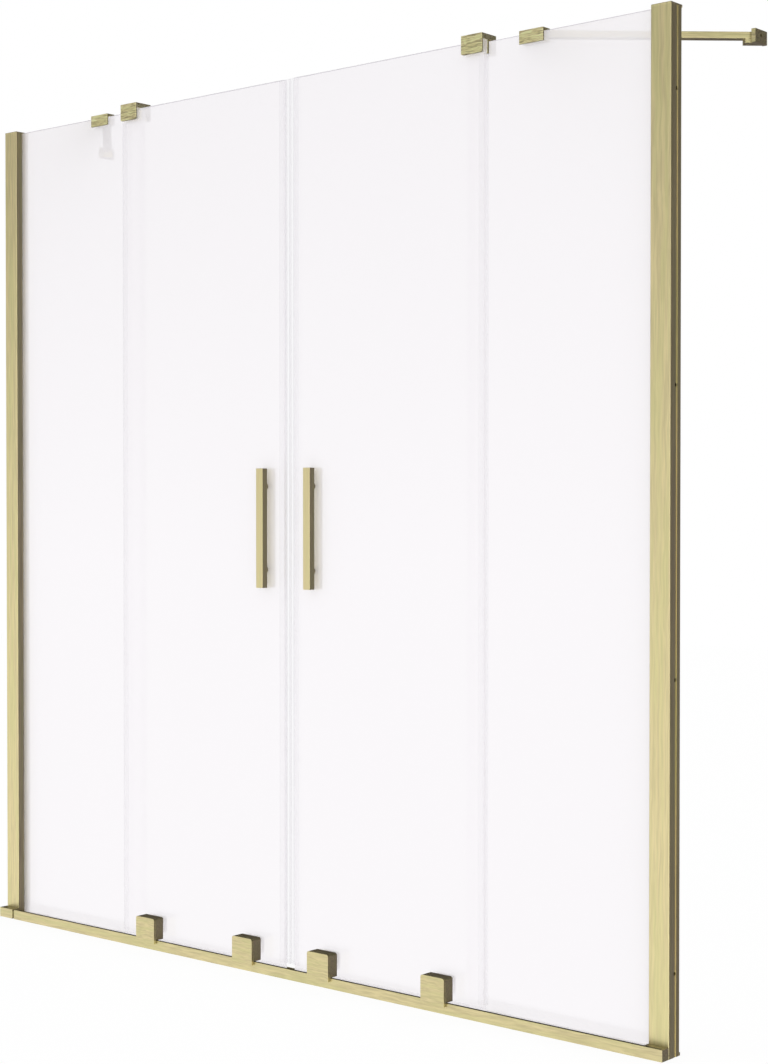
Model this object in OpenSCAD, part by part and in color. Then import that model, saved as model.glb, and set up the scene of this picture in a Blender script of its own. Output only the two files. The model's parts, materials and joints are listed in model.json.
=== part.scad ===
// Frameless sliding bath screen: two fixed glass panels in wall profiles and
// two glass doors that part from the middle on rollers along a bottom track.
// Millimetres. X runs along the screen, Y into the bath, Z up.
// The origin is on the underside of the track, midway between the walls.

/* [Screen] */
// Width between the two walls
screen_w = 1490; // [1440:5:1540]
// Height from the bath rim to the top of the profile caps
screen_h = 1500; // [1400:5:1600]

/* [Glass] */
// Thickness of every glass panel
glass_t = 6; // [5:0.5:6]
// Top edge of the glass below the top of the caps
glass_drop = 2; // [1.8:0.1:2.4]
// Front face of the fixed glass behind the front of the wall profiles
fixed_set = 15; // [14.5:0.1:15.5]
// Space between the door glass and the fixed glass
glass_gap = 5.5; // [5.2:0.1:6]
// Width of the glass of one door
door_w = 398; // [380:1:410]
// Leading edge of the door glass from the middle of the screen
door_lead = 12; // [11:0.5:14]
// How far a closed door covers the fixed panel
overlap = 38; // [32:1:50]
// Bottom edge of the door glass above the bath rim
door_foot = 10; // [9:0.5:11]

/* [Wall profiles] */
// Width of a wall profile from the wall
post_w = 34; // [32:0.5:40]
// Depth of a wall profile
post_d = 28; // [28:0.5:32]
// Wall of the cover profile
cover_t = 1.6; // [1.2:0.1:1.8]
// Wall of the channel that is screwed to the wall
channel_t = 1.8; // [1.4:0.1:2]
// Length of the legs of the wall channel
channel_leg = 24; // [20:1:26]
// Gap between the wall channel and the cover profile around it
channel_fit = 0.3; // [0.2:0.05:0.4]
// Depth of the pocket that takes the glass
pocket_depth = 18; // [14:0.5:18]
// Wall of that pocket
pocket_t = 1.5; // [1.2:0.1:1.6]
// Gap between the edge of the glass and the end of the pocket
pocket_gap = 1; // [0.6:0.1:2]
// Thickness of a glazing gasket
gasket_t = 1.2; // [0.9:0.1:1.4]
// How far the gasket shows past the profile
gasket_lip = 0.6; // [0.3:0.1:1]
// Width of the drill groove in the back of the wall channel
groove_w = 6; // [6:0.5:8]
// Depth of the drill groove
groove_depth = 0.8; // [0.4:0.1:1]
// Middle of the drill groove behind the middle of the profile
groove_set = 1.5; // [0:0.1:3]
// Radius of a wall screw hole
wall_hole_r = 2.75; // [2.2:0.05:2.9]
// Distance of the outer wall screw holes, top to bottom
wall_hole_outer = 1260; // [1100:10:1300]
// Distance of the inner wall screw holes
wall_hole_inner = 420; // [300:10:600]

/* [Profile caps] */
// Thickness of a top cap
cap_t = 3; // [2.6:0.1:3.4]
// How far the cap reaches behind the profile
cap_back = 1.8; // [1:0.1:2.4]
// Depth of the lip at the back of the cap below its underside
cap_lip = 1.2; // [0.5:0.1:2]
// Depth of the plug under the cap
cap_plug = 8; // [4:0.5:12]
// Depth of the recess under the cap above the glass
cap_recess = 1.4; // [1.4:0.1:1.8]

/* [Lock screws] */
// Radius of the shank of a lock screw
lock_r = 1.7; // [1.4:0.1:1.9]
// Radius of its pan head
lock_head_r = 3.6; // [3:0.1:4]
// Height of its pan head
lock_head_h = 2; // [1.6:0.1:2.4]
// Length of its shank
lock_len = 6.5; // [5:0.5:7]
// Distance of a lock screw from the wall
lock_set = 8; // [6:0.5:9]
// Spacing of the lock screws
lock_pitch = 600; // [400:10:640]
// Gap around a lock screw in the cover profile
lock_gap = 0.3; // [0.2:0.05:0.5]

/* [Track] */
// Height of the running rail
rail_h = 17.5; // [17:0.1:18.5]
// Width of the running rail
rail_w = 5.6; // [5:0.1:6]
// Wall of the hollow running rail
rail_t = 1.4; // [1.2:0.1:1.6]
// Front of the track ahead of the wall profiles
track_reach = 17.4; // [16.8:0.1:18]
// Thickness of the base of the track
base_t = 3; // [2.5:0.1:3.2]
// Lip at the back of the track behind the wall profiles
lip_reach = 2; // [1.6:0.1:2.4]
// Thickness of that lip
lip_t = 1.5; // [1:0.1:1.7]
// Height of that lip
lip_h = 4.5; // [3.8:0.1:6]
// Height of the glazing channel on the base
bed_h = 5; // [4:0.5:6]
// Wall of the glazing channel
bed_t = 1.6; // [1.2:0.1:1.8]
// Thickness of the glazing strips in that channel
bed_gasket_t = 0.8; // [0.6:0.1:1.2]
// Thickness of the setting blocks under the fixed glass
block_t = 1.5; // [1:0.1:2]
// Length of a setting block
block_len = 30; // [20:1:50]
// Setting block from each end of the fixed glass
block_set = 60; // [40:1:90]
// Gap between the track and the wall profiles
track_gap = 0.3; // [0.2:0.05:0.5]
// Length of the separate end piece at the left
end_piece_len = 37; // [35:0.5:40]
// Open joint between that end piece and the track
end_joint = 5; // [3:0.5:6]
// Thickness of the end cap at the right
end_cap_t = 3.5; // [2.5:0.1:5]
// Length of the plugs that go into the rail
plug_len = 16; // [10:1:24]
// Gap around those plugs
plug_gap = 0.2; // [0.1:0.05:0.3]

/* [Rollers] */
// Radius of the roller on its tread
tread_r = 10.5; // [10:0.1:11]
// Height of the roller's flanges beside the rail
flange_h = 2; // [1.5:0.1:2.4]
// Thickness of a roller flange
flange_t = 1.4; // [1:0.1:1.4]
// Gap between the rail and each roller flange
flange_gap = 0.3; // [0.2:0.05:0.4]
// Gap between the tread and the rail
tread_gap = 0.2; // [0.1:0.05:0.3]
// Radius of the roller axle
axle_r = 3; // [2.5:0.1:3.2]
// Running gap between the axle and the bearing
axle_gap = 0.04; // [0.02:0.01:0.08]
// Outer radius of the ball bearing
bearing_r = 6.5; // [6:0.1:7]
// Width of the ball bearing
bearing_w = 5; // [4:0.5:6]
// Gap between the bearing and the roller
bearing_gap = 0.02; // [0.01:0.01:0.03]
// Lip of the roller that holds the bearing
bearing_lip = 1.2; // [0.8:0.1:1.6]
// Radius of the head and collar of the axle
axle_head_r = 4.4; // [4:0.1:4.8]
// Thickness of the head and collar of the axle
axle_head_t = 0.6; // [0.4:0.1:0.6]
// Gap between the roller and the head and collar of its axle
axle_clear = 0.15; // [0.1:0.05:0.2]
// Length of the axle inside the carriage body
axle_grip = 7.5; // [6:0.5:8]

/* [Carriages] */
// Width of a carriage
carriage_w = 47; // [44:0.5:50]
// Top of a carriage above the bath rim
carriage_top = 56.5; // [55.5:0.5:60]
// Bottom edge of its front plate
carriage_foot = 12; // [10:0.5:14]
// Rounding of its upper corners
carriage_round = 4; // [2:0.5:5]
// Gap between the head of a roller's axle and the front plate
plate_room = 0.25; // [0.2:0.05:0.7]
// Thickness of the front plate
plate_t = 2.4; // [2:0.1:2.6]
// Width of the shadow joint behind the front plate
seam_w = 0.8; // [0.5:0.1:1]
// Depth of the shadow joint
seam_depth = 0.8; // [0.4:0.1:1]
// Gap between a carriage and the rail
hook_gap = 0.6; // [0.4:0.1:0.8]
// Gap between the roller and its pocket
pocket_room = 1; // [0.7:0.1:1.2]
// Inner carriage from the middle of the screen
inner_x = 87; // [80:1:100]
// Outer carriage from the middle of the screen
outer_x = 329; // [310:1:350]
// Radius of the pegs that hold the front plate
peg_r = 2; // [1.5:0.1:2.2]
// Length of those pegs
peg_len = 6; // [4:0.5:8]
// Pegs from the middle of the carriage
peg_x = 17.5; // [17:0.1:18]
// Gap around the pegs
peg_gap = 0.1; // [0.05:0.05:0.2]
// Thickness of the clear pads between a carriage and the door glass
carriage_pad_t = 4; // [3.6:0.1:4.4]
// Thickness of the clear pads behind the door glass
pad_t = 0.8; // [0.6:0.1:1]
// Width of the clamp plate behind the door glass
clamp_w = 36; // [32:1:40]
// Height of the clamp plate
clamp_h = 28; // [24:1:28]
// Thickness of the clamp plate
clamp_t = 3.2; // [2.8:0.1:3.4]
// Rounding of the clamp plate
clamp_round = 4; // [2:0.5:6]
// Clamp screws from the middle of the carriage
clamp_screw_x = 11; // [9:0.5:12]
// Clamp screws below the top of the carriage
clamp_screw_drop = 8; // [7:0.5:8.5]

/* [Bolts in the doors] */
// Radius of the bolts through the door glass
bolt_r = 2.5; // [2:0.1:2.7]
// Gap between such a bolt and its thread
bolt_gap = 0.05; // [0.02:0.01:0.1]
// Radius of the holes in the door glass
glass_hole_r = 5; // [4:0.1:5.5]
// Depth of the clamp screws in the carriage
clamp_screw_grip = 10; // [8:0.5:10]
// Radius of a countersunk head
sunk_r = 4.6; // [4.2:0.1:4.8]
// Height of a countersunk head
sunk_h = 2.2; // [1.8:0.1:2.4]
// Width across the flats of the hex sockets
socket_af = 3; // [2:0.5:3]
// Depth of the hex sockets
socket_depth = 1.6; // [1.2:0.1:1.8]

/* [Handles] */
// Middle of a handle from the middle of the screen
handle_x = 54; // [50:1:60]
// Middle of the handles above the bath rim
handle_z = 750; // [700:5:850]
// Length of a handle
handle_len = 201; // [160:1:240]
// Width of the outer handle
handle_w = 15; // [14:0.5:18]
// Depth of the outer handle
handle_d = 12.5; // [11:0.5:15]
// Width of the inner handle
inner_handle_w = 13; // [12.5:0.5:18]
// Depth of the inner handle
inner_handle_d = 5.5; // [5:0.5:8]
// Gap between handle and glass
handle_stand = 4.3; // [4:0.1:8]
// Edge rounding of a handle
handle_round = 1; // [0.5:0.1:2]
// Distance between the two handle bolts
handle_pitch = 140; // [110:5:145]
// Radius of the stand-offs of a handle
stand_r = 6; // [5.5:0.1:6.2]
// Thickness of the clear washers at the handles
washer_t = 1; // [0.6:0.1:1.2]
// Depth of the bolts in the outer handle
handle_grip = 7; // [5:0.5:8]
// Radius of the bolt heads in the inner handle
bolt_head_r = 4.5; // [4:0.1:5]
// Height of the bolt heads
bolt_head_h = 2.8; // [2.4:0.1:3]
// Gap around the bolt heads
bolt_head_gap = 0.2; // [0.1:0.05:0.3]
// How deep the bolt heads lie below the inner handle's face
bolt_head_sink = 0.4; // [0.2:0.1:0.8]

/* [Seals] */
// Thickness of the legs of a clip-on seal
seal_t = 0.9; // [0.7:0.1:1]
// Thickness of the web of a clip-on seal
seal_web = 1.2; // [1:0.1:1.4]
// Length of the legs on the glass
seal_leg = 10; // [8:0.5:12]
// Gap between the two magnetic seals, each side of the middle
magnet_gap = 0.3; // [0.2:0.05:0.5]
// Depth of the magnet housing
magnet_d = 7; // [6:0.5:7.4]
// Width of the air chamber beside the magnet
chamber_w = 2; // [1:0.5:3]
// Bottom of the upright seals above the top of the rail
seal_lift = 3; // [2:0.5:5]
// Reach of the bumper on the trailing edge of a door
bumper_reach = 4.8; // [3:0.1:6]
// Thickness of the bumper
bumper_t = 4; // [3:0.5:5]
// Thickness of a sealing fin
fin_t = 1.5; // [1:0.1:2]
// Gap between a sealing fin and the glass that it wipes
fin_gap = 0.3; // [0.2:0.05:0.5]
// Gap between the drip fin and the base of the track
drip_gap = 0.3; // [0.2:0.1:0.6]
// Length of the legs of the drip seal on the glass
drip_leg = 7; // [5:0.5:7]
// Seal on the fixed glass above the carriages' path
fixed_seal_lift = 6; // [3:1:20]
// Gap between the upright seals and the guide blocks
seal_top_gap = 2; // [1:0.5:4]

/* [Guide blocks] */
// Middle of a guide block from the trailing edge of a closed door
guide_set = 19.7; // [16:0.1:22]
// Width of a guide block
guide_w = 41; // [36:0.5:44]
// Height of a guide block
guide_h = 29.5; // [28:0.5:36]
// Top of the guide blocks above the caps
guide_rise = 8.5; // [6:0.5:10]
// Top of the slot in a guide block above the glass
guide_slot_rise = 2; // [1.8:0.1:3]
// Thickness of its front plate
guide_plate_t = 2.5; // [2:0.1:3]
// Thickness of its middle leg
guide_leg_t = 3.4; // [2.8:0.1:3.6]
// Depth of its rear leg
guide_back_d = 9.9; // [8.5:0.1:12]
// Rounding of the lower corners of its front plate
guide_round = 3.5; // [2:0.5:5]
// Gap between the glides and the door glass
glide_gap = 0.3; // [0.2:0.05:0.4]
// Front wall of a glide
glide_front_t = 4.3; // [3:0.1:5]
// Roof of a glide
glide_roof_t = 1; // [0.8:0.1:1.2]
// How far a glide is shorter than its block at each end
glide_inset = 0.8; // [0.4:0.1:2]
// Front pad between guide block and fixed glass
guide_pad_t = 0.6; // [0.5:0.1:0.8]
// Rear pads in the guide blocks and bar clips
back_pad_t = 1.2; // [1:0.1:1.6]

/* [Support bars] */
// Middle of the left bar clip from the middle of its guide block
left_clip_set = 95.5; // [80:0.1:110]
// Middle of the right bar clip from the middle of its guide block
right_clip_set = 101.9; // [80:0.1:110]
// Width of a bar clip
clip_w = 44.6; // [40:0.1:50]
// Height of a bar clip
clip_h = 20; // [18:0.5:24]
// Top of the bar clips above the caps
clip_rise = 3; // [2.6:0.1:4]
// Thickness of a clip's front plate
clip_plate_t = 2.8; // [2.4:0.1:3]
// Front pad between bar clip and fixed glass
clip_pad_t = 1.2; // [1:0.1:1.3]
// Depth of a clip's rear leg
clip_back_d = 6.8; // [6:0.1:9]
// Gap between the glass edge and the roof of a clip
clip_roof_gap = 1; // [0.8:0.1:1.3]
// Width of a support bar
bar_w = 16; // [14:0.5:18]
// Height of a support bar
bar_h = 10; // [9:0.5:12]
// Wall of a support bar
bar_t = 1.5; // [1.2:0.1:1.8]
// Top of a support bar below the top of its clip
bar_drop = 0.6; // [0.3:0.1:1]
// Length of the tenon that enters the bar
tenon_len = 16; // [12:1:24]
// Gap around that tenon
tenon_gap = 0.2; // [0.1:0.05:0.3]
// Middle of a wall flange behind the middle of the wall profiles
flange_y = 238.6; // [200:1:280]
// Thickness of a wall flange
flange_plate_t = 7; // [6:0.5:9]
// Width of a wall flange
flange_w = 35; // [32:0.5:40]
// Height of a wall flange
flange_plate_h = 20.5; // [19:0.5:24]
// Wall flange above the top of the bar
flange_rise = 3.6; // [3:0.1:5]
// Width of the shelf under the bar
shelf_w = 20; // [18:0.5:24]
// Length of the shelf along the bar
shelf_len = 20; // [18:1:28]
// Radius of the wall screw hole in a flange
flange_hole_r = 2.6; // [2.2:0.1:2.8]

/* [Set screws] */
// Radius of a set screw
set_r = 2.5; // [2:0.1:2.6]
// Gap around a set screw
set_gap = 0.05; // [0.02:0.01:0.1]
// Length of the set screws in the guide blocks
guide_set_len = 8; // [6:0.5:8.5]
// Length of the set screws in the bar clips
clip_set_len = 6; // [5:0.5:6]
// Set screws of a guide block from its middle
guide_set_x = 11; // [9:0.5:13]
// Set screws of a bar clip from its middle
clip_set_x = 14; // [12:0.5:16]
// Set screws above the lower edge of their block
set_rise = 5; // [4.5:0.5:5.5]
// Length of the set screws under the bars
bar_set_len = 5; // [4:0.5:5.5]
// Set screw at the clip end of a bar from the clip
tenon_set_x = 11; // [11:0.5:12]

/* [Hidden] */
$fn = 48;

left = -1;
right = 1;
// A cutter runs this far past the face that it opens
over = 1;

gold = "#BDB384";
dark_gold = "#8A8158";
clear_glass = [0.90, 0.94, 0.95, 0.35];
clear_plastic = [0.88, 0.90, 0.90, 0.6];
nylon = "#E9E6DC";
steel = "#B9BBBD";

// Places across the screen, from the middle
half_w = screen_w / 2;
post_in = half_w - post_w;
door_trail = door_lead + door_w;
fixed_edge = door_trail - overlap;
guide_x = door_trail - guide_set;
fixed_outer = post_in + pocket_depth - pocket_gap;
block_places = [fixed_edge + block_set, post_in - block_set];

// Places through the screen, front to back
post_front = -post_d / 2;
post_back = post_d / 2;
fixed_front = post_front + fixed_set;
fixed_back = fixed_front + glass_t;
door_back = fixed_front - glass_gap;
door_front = door_back - glass_t;
track_front = post_front - track_reach;
rail_back = track_front + rail_w;
rail_mid = track_front + rail_w / 2;
track_back = post_back + lip_reach;
end_back = post_front - track_gap;
pocket_front = fixed_front - gasket_t;
pocket_back = fixed_back + gasket_t;
channel_side = post_back - cover_t - channel_fit;

// Heights
glass_top = screen_h - glass_drop;
profile_top = screen_h - cap_t;
fixed_foot = base_t + block_t;
wall_hole_mid = screen_h / 2;
lock_heights = [for (i = [-1 : 1]) screen_h / 2 + i * lock_pitch];

// Rollers and carriages
roller_z = rail_h + tread_gap + tread_r;
roller_half = rail_w / 2 + flange_gap + flange_t;
flange_r = tread_r + flange_h;
roller_front = rail_mid - roller_half;
axle_front = roller_front - axle_clear - axle_head_t;
plate_back = axle_front - plate_room;
plate_front = plate_back - plate_t;
carriage_back = door_front - carriage_pad_t;
body_foot = rail_h + hook_gap;
pocket_r = flange_r + pocket_room;
pocket_end = rail_mid + roller_half + axle_clear + axle_head_t;
clamp_front = door_back + pad_t;
clamp_back = clamp_front + clamp_t;
clamp_screw_z = carriage_top - clamp_screw_drop;
clamp_top = carriage_top - 2;
peg_z = roller_z + pocket_r - 3;

// Handles
handle_places = [handle_z - handle_pitch / 2, handle_z + handle_pitch / 2];
outer_handle_back = door_front - handle_stand;
inner_handle_front = door_back + handle_stand;
inner_handle_back = inner_handle_front + inner_handle_d;
bolt_head_back = inner_handle_back - bolt_head_sink;
bolt_head_front = bolt_head_back - bolt_head_h;

// Guide blocks and bar clips
guide_top = screen_h + guide_rise;
guide_foot = guide_top - guide_h;
guide_roof = glass_top + guide_slot_rise;
guide_leg_back = fixed_front - guide_pad_t;
guide_leg_front = guide_leg_back - guide_leg_t;
glide_front = door_front - glide_gap - glide_front_t;
guide_front = glide_front - guide_plate_t;
back_leg_front = fixed_back + back_pad_t;
guide_back = back_leg_front + guide_back_d;
clip_top = screen_h + clip_rise;
clip_foot = clip_top - clip_h;
clip_roof = glass_top + clip_roof_gap;
clip_plate_back = fixed_front - clip_pad_t;
clip_front = clip_plate_back - clip_plate_t;
clip_back = back_leg_front + clip_back_d;

// Support bars
bar_top = clip_top - bar_drop;
bar_z = bar_top - bar_h / 2;
bar_end_x = half_w - flange_plate_t;
clip_places = [guide_x + left_clip_set, guide_x + right_clip_set];
bar_runs = [for (x = clip_places) [bar_end_x - x, flange_y - clip_back]];
bar_angles = [for (r = bar_runs) atan2(r[1], r[0])];
bar_lens = [for (r = bar_runs) norm(r)];
flange_top = bar_top + flange_rise;
flange_foot = flange_top - flange_plate_h;
shelf_set_x = shelf_len - flange_plate_t;

// Seals
seal_foot = rail_h + seal_lift;
seal_top = guide_foot - seal_top_gap;
fixed_seal_foot = clamp_top + fixed_seal_lift;

// Everything is drawn on the right half and mirrored for the left
module half(s) {
    mirror([s < 0 ? 1 : 0, 0, 0]) children();
}

// A box between two corners
module block(from, to) {
    translate(from) cube(to - from);
}

// A round rod along Y
module rod_y(r, x, z, y_from, y_to) {
    translate([x, y_to, z]) rotate([90, 0, 0]) cylinder(r = r, h = y_to - y_from);
}

// A rectangle with its corners rounded, centred on the origin
module round_rect(w, h, r) {
    square([w - 2 * r, h], center = true);
    square([w, h - 2 * r], center = true);
    for (a = [-1, 1], b = [-1, 1])
        translate([a * (w / 2 - r), b * (h / 2 - r)]) circle(r = r);
}

// A rectangle on the origin whose two upper corners are rounded
module arch_rect(w, h, r) {
    translate([-w / 2, 0]) square([w, h - r]);
    translate([-w / 2 + r, 0]) square([w - 2 * r, h]);
    for (a = [-1, 1])
        translate([a * (w / 2 - r), h - r]) circle(r = r);
}

// A plate that stands upright and runs from one depth to the next
module upright(x, z, y_from, y_to) {
    translate([x, y_to, z]) rotate([90, 0, 0]) linear_extrude(y_to - y_from) children();
}

// A section in Y and Z, drawn out along X
module along_x(from, to) {
    translate([from, 0, 0]) rotate([90, 0, 90]) linear_extrude(to - from) children();
}

// A section in Y and Z given by two corners
module panel(from, to) {
    translate(from) square(to - from);
}

// A hex socket that opens towards the back
module hex_socket(x, z, y_mouth) {
    translate([x, y_mouth + over, z]) rotate([90, 0, 0])
        cylinder(r = socket_af / sqrt(3), h = socket_depth + over, $fn = 6);
}

// Track

module track_section() {
    difference() {
        panel([track_front, 0], [rail_back, rail_h]);
        panel([track_front + rail_t, rail_t], [rail_back - rail_t, rail_h - rail_t]);
    }
    panel([rail_back - rail_t / 2, 0], [track_back, base_t]);
    panel([track_back - lip_t, 0], [track_back, lip_h]);
    bed_front = fixed_front - bed_gasket_t - bed_t;
    bed_back = fixed_back + bed_gasket_t;
    panel([bed_front, 0], [bed_front + bed_t, base_t + bed_h]);
    panel([bed_back, 0], [bed_back + bed_t, base_t + bed_h]);
}

module bottom_track() {
    color(gold) difference() {
        along_x(-half_w, half_w) track_section();
        for (s = [left, right])
            half(s) block([post_in - track_gap, end_back, -over], [half_w + over, post_back + track_gap, rail_h]);
        block([-half_w - over, track_front - over, -over],
              [-half_w + end_piece_len + end_joint, end_back + over, rail_h + over]);
        block([half_w - end_cap_t, track_front - over, -over], [half_w + over, end_back + over, rail_h + over]);
    }
}

// The plug that an end piece pushes into the hollow rail
module rail_plug(from, to) {
    block([from, track_front + rail_t + plug_gap, rail_t + plug_gap],
          [to, rail_back - rail_t - plug_gap, rail_h - rail_t - plug_gap]);
}

module left_track_end_piece() {
    inner_end = -half_w + end_piece_len;
    color(gold) {
        block([-half_w, track_front, 0], [inner_end, end_back, rail_h]);
        rail_plug(inner_end - over, inner_end + end_joint + plug_len);
    }
}

module right_track_end_cap() {
    inner_face = half_w - end_cap_t;
    color(gold) {
        block([inner_face, track_front, 0], [half_w, end_back, rail_h]);
        block([post_in, rail_back + plug_gap, base_t], [inner_face + over, end_back, rail_h]);
        rail_plug(inner_face - plug_len, inner_face + over);
    }
}

// Wall profiles

module wall_channel(s) {
    color(gold) half(s) difference() {
        linear_extrude(profile_top) difference() {
            panel([half_w - channel_leg, -channel_side], [half_w, channel_side]);
            panel([half_w - channel_leg - over, channel_t - channel_side], [half_w - channel_t, channel_side - channel_t]);
            panel([half_w - groove_depth, groove_set - groove_w / 2], [half_w + over, groove_set + groove_w / 2]);
        }
        for (d = [wall_hole_outer, wall_hole_inner], k = [-1, 1])
            translate([half_w - channel_t - over, groove_set, wall_hole_mid + k * d / 2])
                rotate([0, 90, 0]) cylinder(r = wall_hole_r, h = channel_t + 2 * over);
        for (z = lock_heights)
            rod_y(lock_r + set_gap, half_w - lock_set, z, channel_side - channel_t - over, channel_side + over);
    }
}

module cover_profile(s) {
    color(gold) half(s) difference() {
        linear_extrude(profile_top) difference() {
            union() {
                difference() {
                    panel([post_in, post_front], [half_w - channel_fit, post_back]);
                    panel([post_in + cover_t, post_front + cover_t], [half_w, post_back - cover_t]);
                }
                panel([post_in, pocket_front - pocket_t], [post_in + pocket_depth + pocket_t, pocket_back + pocket_t]);
            }
            panel([post_in - over, pocket_front], [post_in + pocket_depth, pocket_back]);
        }
        for (z = lock_heights)
            rod_y(lock_r + lock_gap, half_w - lock_set, z, post_back - cover_t - over, post_back + over);
    }
}

module top_cap(s) {
    plug_side = post_back - cover_t - channel_fit - channel_t - channel_fit;
    plug_front_end = pocket_front - pocket_t - channel_fit;
    color(gold) half(s) difference() {
        union() {
            block([post_in, post_front, profile_top], [half_w, post_back + cap_back, screen_h]);
            block([post_in, post_back + channel_fit, profile_top - cap_lip], [half_w, post_back + cap_back, screen_h]);
            block([post_in + cover_t + channel_fit, -plug_side, profile_top - cap_plug],
                  [half_w - channel_t - channel_fit, plug_front_end, profile_top + over]);
        }
        block([post_in - over, fixed_front - gasket_t, profile_top - over],
              [fixed_outer + pocket_gap, fixed_back + gasket_t, profile_top + cap_recess]);
    }
}

module profile_lock_screws() {
    color(steel) for (s = [left, right], z = lock_heights)
        half(s) difference() {
            union() {
                rod_y(lock_head_r, half_w - lock_set, z, post_back, post_back + lock_head_h);
                rod_y(lock_r, half_w - lock_set, z, post_back - lock_len, post_back + over / 2);
            }
            // Cross recess
            for (a = [0, 90])
                translate([half_w - lock_set, post_back + lock_head_h, z]) rotate([0, a, 0])
                    cube([lock_head_r, lock_head_h, lock_r / 2], center = true);
        }
}

// Fixed panels

module fixed_glass(s) {
    color(clear_glass) half(s)
        block([fixed_edge, fixed_front, fixed_foot], [fixed_outer, fixed_back, glass_top]);
}

module glazing_gaskets() {
    color(clear_plastic) for (s = [left, right]) half(s) {
        for (y = [pocket_front, fixed_back])
            block([post_in - gasket_lip, y, fixed_foot + bed_h], [fixed_outer, y + gasket_t, profile_top]);
        for (y = [fixed_front - bed_gasket_t, fixed_back])
            block([fixed_edge, y, fixed_foot], [post_in - gasket_lip - over, y + bed_gasket_t, base_t + bed_h]);
    }
}

module setting_blocks() {
    color(clear_plastic) for (s = [left, right], x = block_places)
        half(s) block([x - block_len / 2, fixed_front, base_t], [x + block_len / 2, fixed_back, fixed_foot]);
}

// A clip-on seal in plan: a web on the edge of the glass and two legs beside it
module clip_section(edge, toward, y_from, y_to, leg) {
    web_end = edge - toward * seal_web;
    leg_end = edge + toward * leg;
    for (y = [y_from - seal_t, y_to])
        panel([min(edge, leg_end), y], [max(edge, leg_end), y + seal_t]);
    panel([min(edge, web_end), y_from - seal_t], [max(edge, web_end), y_to + seal_t]);
}

module fixed_edge_seals() {
    color(clear_plastic) for (s = [left, right]) half(s)
        translate([0, 0, fixed_seal_foot]) linear_extrude(seal_top - fixed_seal_foot) {
            clip_section(fixed_edge, 1, fixed_front, fixed_back, seal_leg);
            panel([fixed_edge - seal_web, door_back + fin_gap], [fixed_edge - seal_web + fin_t, fixed_front]);
        }
}

// Guide blocks on the fixed glass

module guide_block(s) {
    color(gold) half(s) difference() {
        union() {
            upright(guide_x, guide_top, guide_front, glide_front)
                rotate(180) arch_rect(guide_w, guide_h, guide_round);
            along_x(guide_x - guide_w / 2, guide_x + guide_w / 2) {
                panel([guide_front, guide_roof], [guide_back, guide_top]);
                panel([guide_leg_front, guide_foot], [guide_leg_back, guide_top]);
                panel([back_leg_front, guide_foot], [guide_back, guide_top]);
            }
        }
        for (k = [-1, 1])
            rod_y(set_r + set_gap, guide_x + k * guide_set_x, guide_foot + set_rise, back_leg_front - over, guide_back + over);
    }
}

module guide_glides() {
    color(nylon) for (s = [left, right]) half(s)
        along_x(guide_x - guide_w / 2 + glide_inset, guide_x + guide_w / 2 - glide_inset) {
            panel([glide_front, guide_foot + glide_inset], [glide_front + glide_front_t, guide_roof]);
            panel([glide_front, guide_roof - glide_roof_t], [guide_leg_front, guide_roof]);
            panel([door_back + glide_gap, guide_foot + glide_inset], [guide_leg_front, guide_roof]);
        }
}

// Clear pads that keep metal off the fixed glass

module clamp_pads() {
    color(clear_plastic) for (s = [left, right]) half(s) {
        guide_side = guide_w / 2 - glide_inset;
        clip_side = clip_w / 2 - glide_inset;
        clip_x = clip_places[bar_of(s)];
        block([guide_x - guide_side, guide_leg_back, guide_foot + glide_inset],
              [guide_x + guide_side, fixed_front, glass_top]);
        block([guide_x - guide_side, fixed_back, guide_foot + glide_inset],
              [guide_x + guide_side, back_leg_front, glass_top]);
        block([clip_x - clip_side, clip_plate_back, clip_foot + glide_inset],
              [clip_x + clip_side, fixed_front, glass_top]);
        block([clip_x - clip_side, fixed_back, clip_foot + glide_inset],
              [clip_x + clip_side, back_leg_front, glass_top]);
    }
}

// Support bars

// The left bar is listed first, the right bar second
function bar_of(s) = s < 0 ? 0 : 1;

// Moves to the clip end of the bar, with X along the bar and Z at its middle
module on_bar(s) {
    translate([clip_places[bar_of(s)], clip_back, bar_z]) rotate([0, 0, bar_angles[bar_of(s)]]) children();
}

module bar_clip(s) {
    clip_x = clip_places[bar_of(s)];
    color(gold) half(s) difference() {
        union() {
            along_x(clip_x - clip_w / 2, clip_x + clip_w / 2) {
                panel([clip_front, clip_foot], [clip_plate_back, clip_top]);
                panel([clip_front, clip_roof], [clip_back, clip_top]);
                panel([back_leg_front, clip_foot], [clip_back, clip_top]);
            }
            difference() {
                tenon_w = bar_w - 2 * bar_t - 2 * tenon_gap;
                tenon_h = bar_h - 2 * bar_t - 2 * tenon_gap;
                on_bar(s) translate([0, -tenon_w / 2, -tenon_h / 2]) cube([tenon_len, tenon_w, tenon_h]);
                block([clip_x - bar_w, fixed_back, bar_z - bar_h], [clip_x + bar_w, clip_back - over / 2, bar_z + bar_h]);
            }
        }
        for (k = [-1, 1])
            rod_y(set_r + set_gap, clip_x + k * clip_set_x, clip_foot + set_rise, back_leg_front - over, clip_back + over);
        on_bar(s) translate([tenon_set_x, 0, -bar_h]) cylinder(r = set_r + set_gap, h = 2 * bar_h);
    }
}

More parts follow.
